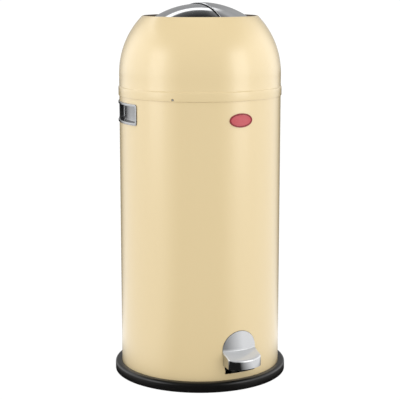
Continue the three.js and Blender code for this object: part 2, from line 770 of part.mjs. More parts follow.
class BailBow extends THREE.Curve {
  constructor(half, depth, height, from, to) {
    super();
    Object.assign(this, { half, depth, height, from, to });
  }

  getPoint(t, target = new THREE.Vector3()) {
    const angle = rad(this.from + (this.to - this.from) * t);
    return target.set(this.half * Math.cos(angle), this.depth * Math.sin(angle), this.height);
  }
}

function bowTube(from, to, steps, radius, sides) {
  const section = shapeOf(arc(0, 0, radius, 0, 360 * (sides - 1) / sides, sides - 1));
  const bow = new BailBow(bailHalf, bailDepth, bailZ, from, to);
  return solid(new THREE.ExtrudeGeometry(section, { steps, bevelEnabled: false, extrudePath: bow }));
}

function bailHoop() {
  const stub = barX(bailWire, bailEarX - 5, bailHalf + bailWire, 0, bailZ, 12);
  return bowTube(0, 180, 24, bailWire, 6).add(stub).add(stub.mirror([1, 0, 0]));
}

function bailGrip() {
  const from = 90 - bailGripArc / 2;
  const to = 90 + bailGripArc / 2;
  return bowTube(from, to, 6, bailGripRadius, 10)
    .subtract(bowTube(from - 5, to + 5, 8, bailWire + 0.6, 8));
}

// ---- The bin ------------------------------------------------------------------------------

add('base_tray', baseTray(), 'black');
add('drum_shell', drumShell(), 'cream');
add('locating_pin', locatingPin(), 'steel');
add('grip_frame', gripFrame(), 'chrome');
add('grip_cup', gripCup(), 'chrome');
add('badge_frame', badgeFrame(), 'red');
add('badge_inlay', badgeInlay(), 'red');
add('liner_platform', linerPlatform(), 'black');

add('pedal_bracket_left', pedalBracket(-1), 'steel');
add('pedal_bracket_right', pedalBracket(1), 'steel');
add('pedal_axle', pedalAxle(), 'steel');
add('axle_clip_left', axleClip(-1), 'steel');
add('axle_clip_right', axleClip(1), 'steel');
add('pedal_plate', pedalPlate(), 'chrome');
add('pedal_lever', pedalLever(), 'steel');
add('pedal_rivet_left', pedalRivet(-1), 'steel');
add('pedal_rivet_right', pedalRivet(1), 'steel');

add('rod_guide_lower', rodGuide(lowerGuideZ), 'nylon');
add('rod_guide_upper', rodGuide(upperGuideZ), 'nylon');
add('push_rod', pushRod(), 'steel');
add('rod_foot', rodFoot(), 'nylon');
add('rod_collar', rodCollar(), 'steel');
add('return_spring', returnSpring(), 'steel');

add('hood_dome', hoodDome(), 'cream');
add('hinge_bracket_front', hingeBracket(frontBracketHalf, true, false), 'zinc');
add('hinge_bracket_rear', hingeBracket(rearBracketHalf, false, true), 'zinc');
add('pivot_pin_front', pivotPin(true), 'steel');
add('pivot_pin_rear', pivotPin(false), 'steel');
add('pivot_spacer_front', pivotSpacer(true), 'nylon');
add('pivot_spacer_rear', pivotSpacer(false), 'nylon');

add('crosshead', crosshead(), 'zinc');
add('drive_pin_left', drivePin(-1), 'steel');
add('drive_pin_right', drivePin(1), 'steel');

add('lid_right', rightLid(), 'chrome');
add('lid_right_front_ear', frontEar(1, rightEarY, upperLidRadius), 'steel');
add('lid_right_rear_crank', rearCrank(1, rightEarY, upperLidRadius), 'steel');
add('lid_seal', lidSeal(), 'rubber');
add('lid_left', leftLid(), 'chrome');
add('lid_left_front_ear', frontEar(-1, leftEarY, lowerLidRadius), 'steel');
add('lid_left_rear_crank', rearCrank(-1, leftEarY, lowerLidRadius), 'steel');

add('liner_bucket', linerBucket(), 'zinc');
add('bail_ear_left', bailEar(-1), 'steel');
add('bail_ear_right', bailEar(1), 'steel');
add('bail_hoop', bailHoop(), 'steel');
add('bail_grip', bailGrip(), 'black');

export default bin;
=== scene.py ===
import bpy
import bmesh
import math
from mathutils import Matrix, Vector


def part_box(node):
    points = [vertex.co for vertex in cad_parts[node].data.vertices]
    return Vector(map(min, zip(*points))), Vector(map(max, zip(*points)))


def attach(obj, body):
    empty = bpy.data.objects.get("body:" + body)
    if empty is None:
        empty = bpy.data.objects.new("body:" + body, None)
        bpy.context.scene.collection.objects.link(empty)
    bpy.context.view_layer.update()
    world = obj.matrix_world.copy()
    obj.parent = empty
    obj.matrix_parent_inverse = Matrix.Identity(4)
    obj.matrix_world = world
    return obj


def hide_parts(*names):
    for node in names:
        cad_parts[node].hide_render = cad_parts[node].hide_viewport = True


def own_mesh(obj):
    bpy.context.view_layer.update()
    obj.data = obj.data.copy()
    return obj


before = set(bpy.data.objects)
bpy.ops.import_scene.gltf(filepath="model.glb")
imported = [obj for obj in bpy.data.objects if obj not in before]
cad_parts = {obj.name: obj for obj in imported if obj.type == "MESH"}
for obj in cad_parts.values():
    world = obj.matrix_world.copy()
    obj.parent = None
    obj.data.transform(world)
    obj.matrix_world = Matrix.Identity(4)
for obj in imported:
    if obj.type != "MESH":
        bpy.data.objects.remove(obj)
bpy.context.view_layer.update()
scene = bpy.context.scene
mm = 0.001

# sizes that several pieces share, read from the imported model
drumLow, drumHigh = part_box("drum_shell")
hoodLow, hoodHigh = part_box("hood_dome")
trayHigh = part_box("base_tray")[1]
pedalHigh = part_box("pedal_plate")[1]
drumRadius = drumHigh.x
drumTop = drumHigh.z
gap = 0.3 * mm  # left round the drum under the pieces that sit on it
nearAxis = 0.1 * mm  # where a turned outline ends, just off its axis
barAxis = 0.02 * mm

# the view is from the front left; every angle of the light is counted from it
cameraSetup = {"around": -29.0, "distance": 2.3, "height": 0.742, "tilt": 10.26, "lens": 111.2}
lightSetup = {"floorSize": 14.0, "floorGrey": 0.6, "floorGlow": 1.1, "floorShare": 0.88, "backdrop": 1.05,
              "fill": 1.35, "sides": 1.6, "front": 0.06, "behind": 0.36, "strip": 1.6, "ceiling": 0.035,
              "overhead": 0.5, "floorSides": 1.1, "floorFront": 0.015, "aimHeight": 0.36}
softboxes = {"softboxLeft": {"degrees": -62, "watts": 5}, "softboxRight": {"degrees": 58, "watts": 6}}
softboxSize = {"distance": 2.2, "height": 0.9, "width": 0.9, "tall": 1.6}


def aroundBin(degrees, distance, height):
    turn = math.radians(cameraSetup["around"] + degrees)
    return Vector((math.sin(turn) * distance, -math.cos(turn) * distance, height))


def makeCamera(setup):
    data = bpy.data.cameras.new("camera")
    data.lens = setup["lens"]
    data.sensor_width = 36.0
    data.clip_end = 60.0
    camera = bpy.data.objects.new("camera", data)
    camera.location = aroundBin(0, setup["distance"], setup["height"])
    camera.rotation_euler = (math.radians(90 - setup["tilt"]), 0, math.radians(setup["around"]))
    scene.collection.objects.link(camera)
    scene.camera = camera


def makeSoftbox(name, degrees, watts):
    data = bpy.data.lights.new(name, "AREA")
    data.shape = "RECTANGLE"
    data.size = softboxSize["width"]
    data.size_y = softboxSize["tall"]
    data.energy = watts
    lamp = bpy.data.objects.new(name, data)
    lamp.location = aroundBin(degrees, softboxSize["distance"], softboxSize["height"])
    aim = Vector((0, 0, lightSetup["aimHeight"])) - lamp.location
    lamp.rotation_euler = aim.to_track_quat("-Z", "Y").to_euler()
    scene.collection.objects.link(lamp)


# small helpers for the node trees
def ramp(nodes, links, source, stops):
    node = nodes.new("ShaderNodeValToRGB")
    colours = node.color_ramp
    while len(colours.elements) < len(stops):
        colours.elements.new(0.5)
    for element, (position, value) in zip(colours.elements, stops):
        element.position = position
        element.color = (value, value, value, 1)
    links.new(source, node.inputs["Fac"])
    return node.outputs["Color"]


def calculate(nodes, links, operation, *values):
    node = nodes.new("ShaderNodeMath")
    node.operation = operation
    for socket, value in zip(node.inputs, values):
        if isinstance(value, (int, float)):
            socket.default_value = value
        else:
            links.new(value, socket)
    return node.outputs[0]


def blend(nodes, links, factor, first, second):
    mix = nodes.new("ShaderNodeMix")
    mix.data_type = "RGBA"
    links.new(factor, mix.inputs["Factor"])
    for name, colour in (("A", first), ("B", second)):
        if isinstance(colour, tuple):
            mix.inputs[name].default_value = (*colour, 1)
        else:
            links.new(colour, mix.inputs[name])
    return mix.outputs["Result"]


def mixShaders(nodes, links, factor, first, second):
    node = nodes.new("ShaderNodeMixShader")
    for socket, source in zip(node.inputs, (factor, first, second)):
        links.new(source, socket)
    return node.outputs[0]


def vectorNode(nodes, links, operation, source):
    node = nodes.new("ShaderNodeVectorMath")
    node.operation = operation
    links.new(source, node.inputs[0])
    return node


def turnedToView(nodes, links, source):
    # X then runs across the view and Y away from it
    turn = nodes.new("ShaderNodeMapping")
    turn.inputs["Rotation"].default_value[2] = math.radians(-cameraSetup["around"])
    links.new(source, turn.inputs["Vector"])
    return turn.outputs["Vector"]


def splitAxes(nodes, links, source):
    split = nodes.new("ShaderNodeSeparateXYZ")
    links.new(source, split.inputs["Vector"])
    return split.outputs


def besideView(nodes, links, across):
    return ramp(nodes, links, calculate(nodes, links, "ABSOLUTE", across), [(0.50, 0.0), (0.80, 1.0)])


def makeSky():
    # what the gloss sees: a dark front, white walls at the sides, a grey back with one white strip
    world = bpy.data.worlds.new("studio")
    scene.world = world
    world.use_nodes = True
    nodes, links = world.node_tree.nodes, world.node_tree.links
    nodes.clear()
    coord = nodes.new("ShaderNodeTexCoord")
    axes = splitAxes(nodes, links, turnedToView(nodes, links, coord.outputs["Generated"]))
    across, away, height = (calculate(nodes, links, "MULTIPLY_ADD", axes[axis], 0.5, 0.5) for axis in "XYZ")
    look = lightSetup
    behind, strip, ceiling = look["behind"], look["strip"], look["ceiling"]
    overhead = [(0.93, ceiling), (0.965, ceiling), (0.99, look["overhead"])]
    stripBack = ramp(nodes, links, height, [(0.0, behind), (0.775, behind), (0.795, strip), (0.83, strip),
                                            (0.85, 0.16)] + overhead)
    plainBack = ramp(nodes, links, height, [(0.0, behind), (0.78, 0.42), (0.84, 0.48)] + overhead)
    back = blend(nodes, links, ramp(nodes, links, across, [(0.54, 0.0), (0.60, 1.0)]), stripBack, plainBack)
    rear = ramp(nodes, links, away, [(0.40, 0.0), (0.56, 1.0)])
    room = blend(nodes, links, rear, (look["front"],) * 3, back)
    low = ramp(nodes, links, height, [(0.72, 1.0), (0.86, 0.0)])
    walls = calculate(nodes, links, "MULTIPLY", besideView(nodes, links, axes["X"]), low)
    gloss = nodes.new("ShaderNodeBackground")
    links.new(blend(nodes, links, walls, room, (look["sides"],) * 3), gloss.inputs["Color"])
    fill = nodes.new("ShaderNodeBackground")
    fill.inputs["Strength"].default_value = look["fill"]
    white = nodes.new("ShaderNodeBackground")
    white.inputs["Color"].default_value = (1, 1, 1, 1)
    white.inputs["Strength"].default_value = look["backdrop"]
    ray = nodes.new("ShaderNodeLightPath")
    lit = mixShaders(nodes, links, ray.outputs["Is Glossy Ray"], fill.outputs[0], gloss.outputs[0])
    seen = mixShaders(nodes, links, ray.outputs["Is Camera Ray"], lit, white.outputs[0])
    links.new(seen, nodes.new("ShaderNodeOutputWorld").inputs["Surface"])


def makeFloor():
    # pale paper that is lit to white, with a little of the contact shadow left
    bm = bmesh.new()
    bmesh.ops.create_grid(bm, x_segments=2, y_segments=2, size=lightSetup["floorSize"] / 2)
    mesh = bpy.data.meshes.new("floor")
    bm.to_mesh(mesh)
    bm.free()
    floor = bpy.data.objects.new("floor", mesh)
    scene.collection.objects.link(floor)
    material = bpy.data.materials.new("paleFloor")
    material.use_nodes = True
    nodes, links = material.node_tree.nodes, material.node_tree.links
    nodes.clear()
    paint = nodes.new("ShaderNodeBsdfDiffuse")
    paint.inputs["Color"].default_value = (lightSetup["floorGrey"],) * 3 + (1,)
    glow = nodes.new("ShaderNodeEmission")
    glow.inputs["Strength"].default_value = lightSetup["floorGlow"]
    # in the gloss the floor is bright to the left and right, and dim in front and close by
    place = nodes.new("ShaderNodeTexCoord").outputs["Object"]
    unit = vectorNode(nodes, links, "NORMALIZE", turnedToView(nodes, links, place)).outputs["Vector"]
    distance = vectorNode(nodes, links, "LENGTH", place).outputs["Value"]
    away = ramp(nodes, links, distance, [(0.17, 0.0), (0.30, 1.0)])
    beside = besideView(nodes, links, splitAxes(nodes, links, unit)["X"])
    bright = nodes.new("ShaderNodeMapRange")
    bright.inputs["To Min"].default_value = lightSetup["floorFront"]
    bright.inputs["To Max"].default_value = lightSetup["floorSides"]
    links.new(calculate(nodes, links, "MULTIPLY", beside, away), bright.inputs["Value"])
    mirror = nodes.new("ShaderNodeEmission")
    links.new(bright.outputs["Result"], mirror.inputs["Strength"])
    ray = nodes.new("ShaderNodeLightPath")
    lit = mixShaders(nodes, links, ray.outputs["Is Glossy Ray"], paint.outputs[0], mirror.outputs[0])
    share = calculate(nodes, links, "MULTIPLY", ray.outputs["Is Camera Ray"], lightSetup["floorShare"])
    links.new(mixShaders(nodes, links, share, lit, glow.outputs[0]),
              nodes.new("ShaderNodeOutputMaterial").inputs["Surface"])
    mesh.materials.append(material)


scene.view_settings.view_transform = "Standard"
makeCamera(cameraSetup)
makeSky()
makeFloor()
for boxName, box in softboxes.items():
    makeSoftbox(boxName, box["degrees"], box["watts"])
print("camera and light are set")


def startMaterial(name, metal=0.0):
    material = bpy.data.materials.new(name)
    material.use_nodes = True
    nodes = material.node_tree.nodes
    shader = nodes["Principled BSDF"]
    shader.inputs["Metallic"].default_value = metal
    return material, nodes, material.node_tree.links, shader


def objectNoise(nodes, links, scale, detail, stretch=(1, 1, 1)):
    coord = nodes.new("ShaderNodeTexCoord")
    place = nodes.new("ShaderNodeMapping")
    place.inputs["Scale"].default_value = stretch
    noise = nodes.new("ShaderNodeTexNoise")
    noise.inputs["Scale"].default_value = scale
    noise.inputs["Detail"].default_value = detail
    links.new(coord.outputs["Object"], place.inputs["Vector"])
    links.new(place.outputs["Vector"], noise.inputs["Vector"])
    return noise.outputs["Fac"]


def spread(nodes, links, source, low, high, fromLow=0.15, fromHigh=0.85):
    span = nodes.new("ShaderNodeMapRange")
    span.inputs["From Min"].default_value = fromLow
    span.inputs["From Max"].default_value = fromHigh
    span.inputs["To Min"].default_value = low
    span.inputs["To Max"].default_value = high
    links.new(source, span.inputs["Value"])
    return span.outputs["Result"]


def addBump(nodes, links, shader, height, strength, distance):
    bump = nodes.new("ShaderNodeBump")
    bump.inputs["Strength"].default_value = strength
    bump.inputs["Distance"].default_value = distance
    links.new(height, bump.inputs["Height"])
    links.new(bump.outputs["Normal"], shader.inputs["Normal"])


def makeFinish(name, tones, rough, cloud, grain, relief, metal=0.0):
    # one noise drifts the tone and the roughness; the relief has its own noise, or the same one
    material, nodes, links, shader = startMaterial(name, metal)
    drift = objectNoise(nodes, links, *cloud)
    links.new(blend(nodes, links, spread(nodes, links, drift, 0, 1), *tones), shader.inputs["Base Color"])
    links.new(spread(nodes, links, drift, *rough), shader.inputs["Roughness"])
    addBump(nodes, links, shader, objectNoise(nodes, links, *grain) if grain else drift, *relief)
    return material


def makeCoat(material, specular, weight, rough):
    shader = material.node_tree.nodes["Principled BSDF"]
    shader.inputs["Specular IOR Level"].default_value = specular
    shader.inputs["Coat Weight"].default_value = weight
    shader.inputs["Coat Roughness"].default_value = rough
    return material


creamPaint = {"tone": (0.835, 0.668, 0.378), "shade": (0.82, 0.65, 0.36), "rough": (0.27, 0.31),
              "orangePeel": (0.035, 0.0002), "coat": 1.0, "coatRough": 0.22}


def makeCream():
    # powder coat: a faint orange peel under a glossy coat
    material, nodes, links, shader = startMaterial("creamEnamel")
    cloud = spread(nodes, links, objectNoise(nodes, links, 3.0, 2.0), 0, 1)
    paint = blend(nodes, links, cloud, creamPaint["tone"], creamPaint["shade"])
    links.new(paint, shader.inputs["Base Color"])
    smudge = objectNoise(nodes, links, 9.0, 4.0)
    links.new(spread(nodes, links, smudge, *creamPaint["rough"]), shader.inputs["Roughness"])
    addBump(nodes, links, shader, objectNoise(nodes, links, 420.0, 2.0), *creamPaint["orangePeel"])
    return makeCoat(material, 0.5, creamPaint["coat"], creamPaint["coatRough"])


def makeChrome(name, bright, rough):
    tone = (bright, bright * 1.01, bright * 1.03)
    haze = tuple(value * 0.93 for value in tone)
    return makeFinish(name, (tone, haze), (rough * 0.7, rough * 1.3), (26.0, 5.0), (35.0, 2.0),
                      (0.04, 0.0006), 1.0)


satin = {"metal": 0.30, "shieldShare": 0.5, "tone": (0.68, 0.69, 0.70)}


def makeTreadSatin(material, creaseZ, creaseY, slope):
    # the tread is ground satin and the shield half so, told apart by the height over the tread's plane
    nodes, links = material.node_tree.nodes, material.node_tree.links
    shader = nodes["Principled BSDF"]
    over = vectorNode(nodes, links, "DOT_PRODUCT", nodes.new("ShaderNodeTexCoord").outputs["Object"])
    over.inputs[1].default_value = (0, -slope, 1)
    plane = creaseZ - slope * creaseY
    place = spread(nodes, links, over.outputs["Value"], 0, 1, plane - 10 * mm, plane + 40 * mm)
    share = ramp(nodes, links, place, [(0.13, 0), (0.17, 1), (0.24, 1), (0.32, satin["shieldShare"])])
    links.new(spread(nodes, links, share, 1, satin["metal"], 0, 1), shader.inputs["Metallic"])
    polished = shader.inputs["Base Color"].links[0].from_socket
    links.new(blend(nodes, links, share, polished, satin["tone"]), shader.inputs["Base Color"])


zincCoat = {"spangle": 85.0, "metal": 0.7, "dark": (0.50, 0.52, 0.54), "pale": (0.62, 0.64, 0.65),
            "rough": (0.34, 0.52), "relief": (0.06, 0.0003)}


def makeZinc():
    # galvanised sheet: spangles of slightly different grey and gloss
    material, nodes, links, shader = startMaterial("galvanised", zincCoat["metal"])
    spangle = nodes.new("ShaderNodeTexVoronoi")
    spangle.inputs["Scale"].default_value = zincCoat["spangle"]
    links.new(nodes.new("ShaderNodeTexCoord").outputs["Object"], spangle.inputs["Vector"])
    grey = nodes.new("ShaderNodeRGBToBW")
    links.new(spangle.outputs["Color"], grey.inputs["Color"])
    shade = grey.outputs["Val"]
    links.new(blend(nodes, links, shade, zincCoat["dark"], zincCoat["pale"]), shader.inputs["Base Color"])
    links.new(spread(nodes, links, shade, *zincCoat["rough"], 0, 1), shader.inputs["Roughness"])
    addBump(nodes, links, shader, objectNoise(nodes, links, 240.0, 3.0), *zincCoat["relief"])
    return material


def makeSteel(name, tones, rough, stretch=(1, 1, 1), metal=1.0):
    return makeFinish(name, tones, rough, (60.0, 6.0, stretch), None, (0.08, 0.0003), metal)


def makeNylon():
    material = makeFinish("naturalNylon", ((0.70, 0.68, 0.61), (0.62, 0.60, 0.53)), (0.42, 0.56),
                          (40.0, 4.0), (700.0, 2.0), (0.08, 0.0002))
    material.node_tree.nodes["Principled BSDF"].inputs["Subsurface Weight"].default_value = 0.1
    return material


def makeEnamel(name, tones):
    return makeCoat(makeFinish(name, tones, (0.2, 0.3), (90.0, 3.0), None, (0.05, 0.0003)), 0.3, 0.1, 0.1)


cream = makeCream()
chrome = makeChrome("lidChrome", 0.78, 0.07)
pedalChrome = makeChrome("pedalChrome", 0.62, 0.10)
gripChrome = makeChrome("gripChrome", 0.44, 0.14)
cupChrome = makeChrome("cupChrome", 0.33, 0.20)
# painted shade: a dark brown paint that stands in for the shade inside the hood
insideShade = makeSteel("paintedInsideShade", ((0.10, 0.065, 0.035), (0.075, 0.05, 0.028)), (0.5, 0.65), metal=0.0)
blackPlastic = makeFinish("blackPlastic", ((0.0045, 0.0042, 0.004), (0.008, 0.0072, 0.0065)), (0.28, 0.36),
                          (12.0, 5.0), (900.0, 3.0), (0.12, 0.0002))
drawnSteel = makeSteel("drawnSteel", ((0.56, 0.56, 0.55), (0.44, 0.44, 0.44)), (0.24, 0.38), (1, 1, 0.1))
pressedSteel = makeSteel("pressedSteel", ((0.58, 0.58, 0.58), (0.50, 0.50, 0.51)), (0.32, 0.46))
zinc = makeZinc()
nylon = makeNylon()
rubber = makeFinish("blackRubber", ((0.006, 0.006, 0.006), (0.014, 0.014, 0.014)), (0.6, 0.8), (50.0, 4.0),
                    None, (0.2, 0.0003))
redEnamel = makeEnamel("redEnamel", ((0.60, 0.10, 0.12), (0.54, 0.085, 0.10)))
darkRedEnamel = makeEnamel("darkRedEnamel", ((0.30, 0.03, 0.04), (0.26, 0.025, 0.034)))
print("finishes are made")


def finishPiece(name, bm, body, nodes, material, sharp=32.0):
    mesh = bpy.data.meshes.new(name)
    bm.to_mesh(mesh)
    bm.free()
    piece = bpy.data.objects.new(name, mesh)
    scene.collection.objects.link(piece)
    mesh.materials.append(material)
    for face in mesh.polygons:
        face.use_smooth = True
    mesh.set_sharp_from_angle(angle=math.radians(sharp))
    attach(piece, body)
    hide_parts(*nodes)
    return piece


def pieceName(node):
    # a piece that stands for one node has the node's name
    first, *others = node.split("_")
    return first + "".join(word.capitalize() for word in others)


def rounded(corners, segments=4):
    # corners are (x, y, radius): each is replaced by an arc of that radius
    outline = []
    for i, (x, y, radius) in enumerate(corners):
        here = Vector((x, y))
        if radius <= 0:
            outline.append(here)
            continue
        before = (Vector(corners[i - 1][:2]) - here).normalized()
        after = (Vector(corners[(i + 1) % len(corners)][:2]) - here).normalized()
        half = before.angle(after) / 2
        reach = radius / math.tan(half)
        centre = here + (before + after).normalized() * radius / math.sin(half)
        start = (here + before * reach) - centre
        end = (here + after * reach) - centre
        sweep = start.angle_signed(end)
        for k in range(segments + 1):
            outline.append(centre + Matrix.Rotation(-sweep * k / segments, 2) @ start)
    return outline


def arcPoints(cx, cy, radius, start, end, steps):
    turns = [math.radians(start + (end - start) * i / steps) for i in range(steps + 1)]
    return [Vector((cx + radius * math.cos(turn), cy + radius * math.sin(turn))) for turn in turns]


def boxOutline(width, tall, corner, segments=6):
    x, z = width / 2, tall / 2
    return rounded([(-x, -z, corner), (x, -z, corner), (x, z, corner), (-x, z, corner)], segments)


def cleanUp(bm, distance=1e-6):
    bmesh.ops.remove_doubles(bm, verts=bm.verts, dist=distance)
    bmesh.ops.recalc_face_normals(bm, faces=bm.faces)
    return bm


def spun(outline, steps=180):
    # a closed outline of (radius, height) in metres, turned round Z
    bm = bmesh.new()
    verts = [bm.verts.new((0, -p[0], p[1])) for p in outline]
    edges = [bm.edges.new(pair) for pair in zip(verts, verts[1:] + verts[:1])]
    bmesh.ops.spin(bm, geom=verts + edges, cent=(0, 0, 0), axis=(0, 0, 1), angle=2 * math.pi,
                   steps=steps, use_merge=True)
    return cleanUp(bm)


def flatOutline(outline):
    # a face in X and Z at y = 0
    bm = bmesh.new()
    face = bm.faces.new([bm.verts.new((p[0], 0, p[1])) for p in outline])
    return bm, face


def pushOut(bm, faces, move):
    grown = bmesh.ops.extrude_face_region(bm, geom=faces)
    bmesh.ops.translate(bm, vec=move, verts=[g for g in grown["geom"] if isinstance(g, bmesh.types.BMVert)])


def slicePlane(bm, point, normal, **clear):
    # gives back the edges of the cut
    cut = bmesh.ops.bisect_plane(bm, geom=bm.verts[:] + bm.edges[:] + bm.faces[:], dist=1e-7,
                                 plane_co=point, plane_no=normal, **clear)
    return [g for g in cut["geom_cut"] if isinstance(g, bmesh.types.BMEdge)]


def roundEdges(bm, edges, offset, segments):
    bmesh.ops.bevel(bm, geom=edges, offset=offset, offset_type="OFFSET", affect="EDGES", segments=segments,
                    profile=0.5, material=-1)


def flatRing(outer, inner, proud, corner, segments):
    # a raised ring between two outlines, with its front corners rounded
    bm = bmesh.new()
    loops = []
    for outline in (outer, inner):
        verts = [bm.verts.new((p[0], 0, p[1])) for p in outline]
        loops += [bm.edges.new(pair) for pair in zip(verts, verts[1:] + verts[:1])]
    bmesh.ops.bridge_loops(bm, edges=loops)
    pushOut(bm, bm.faces[:], (0, proud, 0))
    cleanUp(bm)
    front = [e for e in bm.edges if len(e.link_faces) == 2 and all(v.co.y > proud * 0.9 for v in e.verts)
             and e.calc_face_angle(0) > 1.0]
    roundEdges(bm, front, corner, segments)
    return bm


def rollRound(bm, radius, degrees, height, step=3 * mm):
    # a piece made flat (x across, y proud, z up) is cut into strips and rolled to the drum
    low = min(v.co.x for v in bm.verts)
    high = max(v.co.x for v in bm.verts)
    count = max(2, round((high - low) / step))
    for i in range(1, count):
        slicePlane(bm, (low + (high - low) * i / count, 0, 0), (1, 0, 0))
    for v in bm.verts:
        turn = math.radians(degrees) + v.co.x / radius
        out = radius + v.co.y
        v.co = Vector((out * math.sin(turn), -out * math.cos(turn), v.co.z + height))
    return cleanUp(bm)


def cutWith(piece, cutterMesh):
    cutter = bpy.data.objects.new("cutter", bpy.data.meshes.new("cutter"))
    cutterMesh.to_mesh(cutter.data)
    cutterMesh.free()
    scene.collection.objects.link(cutter)
    cut = piece.modifiers.new("cut", "BOOLEAN")
    cut.operation = "DIFFERENCE"
    cut.solver = "EXACT"
    cut.object = cutter
    bpy.context.view_layer.update()
    graph = bpy.context.evaluated_depsgraph_get()
    mesh = bpy.data.meshes.new_from_object(piece.evaluated_get(graph))
    whole = piece.data
    piece.modifiers.clear()
    piece.data = mesh
    bpy.data.meshes.remove(whole)
    bpy.data.objects.remove(cutter)
    for face in mesh.polygons:
        face.use_smooth = True


def radialNormals(piece):
    # true round shading beside the cuts in the rolled sheet
    mesh = piece.data
    normals = []
    for face in mesh.polygons:
        for index in face.loop_indices:
            place = mesh.vertices[mesh.loops[index].vertex_index].co
            out = Vector((place.x, place.y, 0)).normalized()
            side = face.normal.dot(out)
            normals.append(out * (1 if side > 0 else -1) if abs(side) > 0.985 else face.normal)
    mesh.normals_split_custom_set([tuple(n) for n in normals])


def turnRoundZ(bm, degrees):
    turn = Matrix.Rotation(math.radians(degrees), 3, "Z")
    bmesh.ops.rotate(bm, cent=(0, 0, 0), matrix=turn, verts=bm.verts)


def prism(outline, degrees, near, far, height=0.0):
    # an outline in X and Z pushed out along the radius at an angle from the front
    bm, face = flatOutline(outline)
    pushOut(bm, [face], (0, -(far - near), 0))
    bmesh.ops.translate(bm, vec=(0, -near, height), verts=bm.verts)
    turnRoundZ(bm, degrees)
    return cleanUp(bm)


def joinInto(bm, other):
    mesh = bpy.data.meshes.new("join")
    other.to_mesh(mesh)
    other.free()
    bm.from_mesh(mesh)
    bpy.data.meshes.remove(mesh)


def bevelCorners(piece, width, angle):
    edge = piece.modifiers.new("edge", "BEVEL")
    edge.width = width
    edge.segments = 2
    edge.limit_method = "ANGLE"
    edge.angle_limit = math.radians(angle)


baseRing = {"lip": 2.5 * mm, "shoulder": 5.5 * mm, "recess": 7 * mm, "floor": 3 * mm, "collar": 8 * mm,
            "collarIn": 1.3 * mm}


def makeBaseRing():
    outer, top, lip = trayHigh.x, trayHigh.z, baseRing["lip"]
    under = top - baseRing["recess"]
    inside = drumRadius - baseRing["collarIn"]
    snug = drumRadius + gap
    floorTop, collar = baseRing["floor"], baseRing["collar"]
    profile = rounded([
        (nearAxis, 0, 0), (drumRadius + lip, 0, 0.8 * mm), (drumRadius + lip, under, 1 * mm),
        (outer - lip, under, 1 * mm), (outer - lip, 0, 0.6 * mm), (outer, 0, 0.8 * mm),
        (outer, top - 0.2 * mm, baseRing["shoulder"]), (snug, top, 0.8 * mm), (snug, floorTop, 0.3 * mm),
        (inside, floorTop, 0.3 * mm), (inside, collar, 0.8 * mm), (inside - lip, collar, 0.8 * mm),
        (inside - lip, floorTop, 1 * mm), (nearAxis, floorTop, 0)], 6)
    finishPiece("baseRing", spun(profile, 192), "drum", ["base_tray"], blackPlastic)


makeBaseRing()
print("base ring is turned")


pedalSlot = {"half": 34.5 * mm, "bottom": 29 * mm, "top": 108 * mm}
sideGrip = {"angle": -101.0, "height": 497 * mm, "width": 122 * mm, "tall": 38.5 * mm, "rim": 5 * mm,
            "proud": 1.6 * mm, "corner": 3.5 * mm, "depth": 9.4 * mm, "wall": 1 * mm, "window": 3 * mm,
            "roundFront": 1.35 * mm, "roundFloor": 2.4 * mm}
drumSheet = {"wall": 1 * mm, "slotCut": (80 * mm, 170 * mm), "windowCut": (110 * mm, 170 * mm)}


def makeDrum():
    low, inner = drumLow.z, drumRadius - drumSheet["wall"]
    profile = rounded([(drumRadius, low, 0.3 * mm), (drumRadius, drumTop, 0.4 * mm),
                       (inner, drumTop, 0.4 * mm), (inner, low, 0.3 * mm)], 3)
    drum = finishPiece("drum", spun(profile, 192), "drum", ["drum_shell"], cream)
    half, sill, arch = pedalSlot["half"], pedalSlot["bottom"], pedalSlot["top"] - pedalSlot["half"]
    slot = rounded([(-half, sill, 2 * mm), (half, sill, 2 * mm), (half, arch, 0)], 5)
    cutWith(drum, prism(slot + arcPoints(0, arch, half, 0, 180, 48)[1:], 0, *drumSheet["slotCut"]))
    smaller = 2 * sideGrip["rim"] - sideGrip["window"]
    window = boxOutline(sideGrip["width"] - smaller, sideGrip["tall"] - smaller, sideGrip["corner"])
    cutWith(drum, prism(window, sideGrip["angle"], *drumSheet["windowCut"], sideGrip["height"]))
    radialNormals(drum)


makeDrum()
print("drum is rolled and cut")


hood = {"wall": 1 * mm, "opening": 102.8 * mm, "bead": 2.2 * mm, "beadSink": 1.3 * mm, "roll": 3 * mm,
        "notchAngle": -47.5, "notchHeight": 529 * mm, "notch": 2.2 * mm, "notchCut": (147 * mm, 156 * mm),
        "dimpleAngle": -43.7, "dimple": 1.5 * mm, "dimpleSink": 0.62 * mm, "dimpleDrop": 2.5 * mm}


def hoodNumbers():
    # the dome is a true hemisphere that ends at the rolled edge of the opening
    beadCentre = hood["opening"] + hood["bead"]
    edge = beadCentre + hood["bead"]
    openingZ = hoodHigh.z - hood["bead"] + hood["beadSink"]
    centreZ = openingZ - math.sqrt(drumRadius ** 2 - edge ** 2)
    return beadCentre, openingZ, centreZ


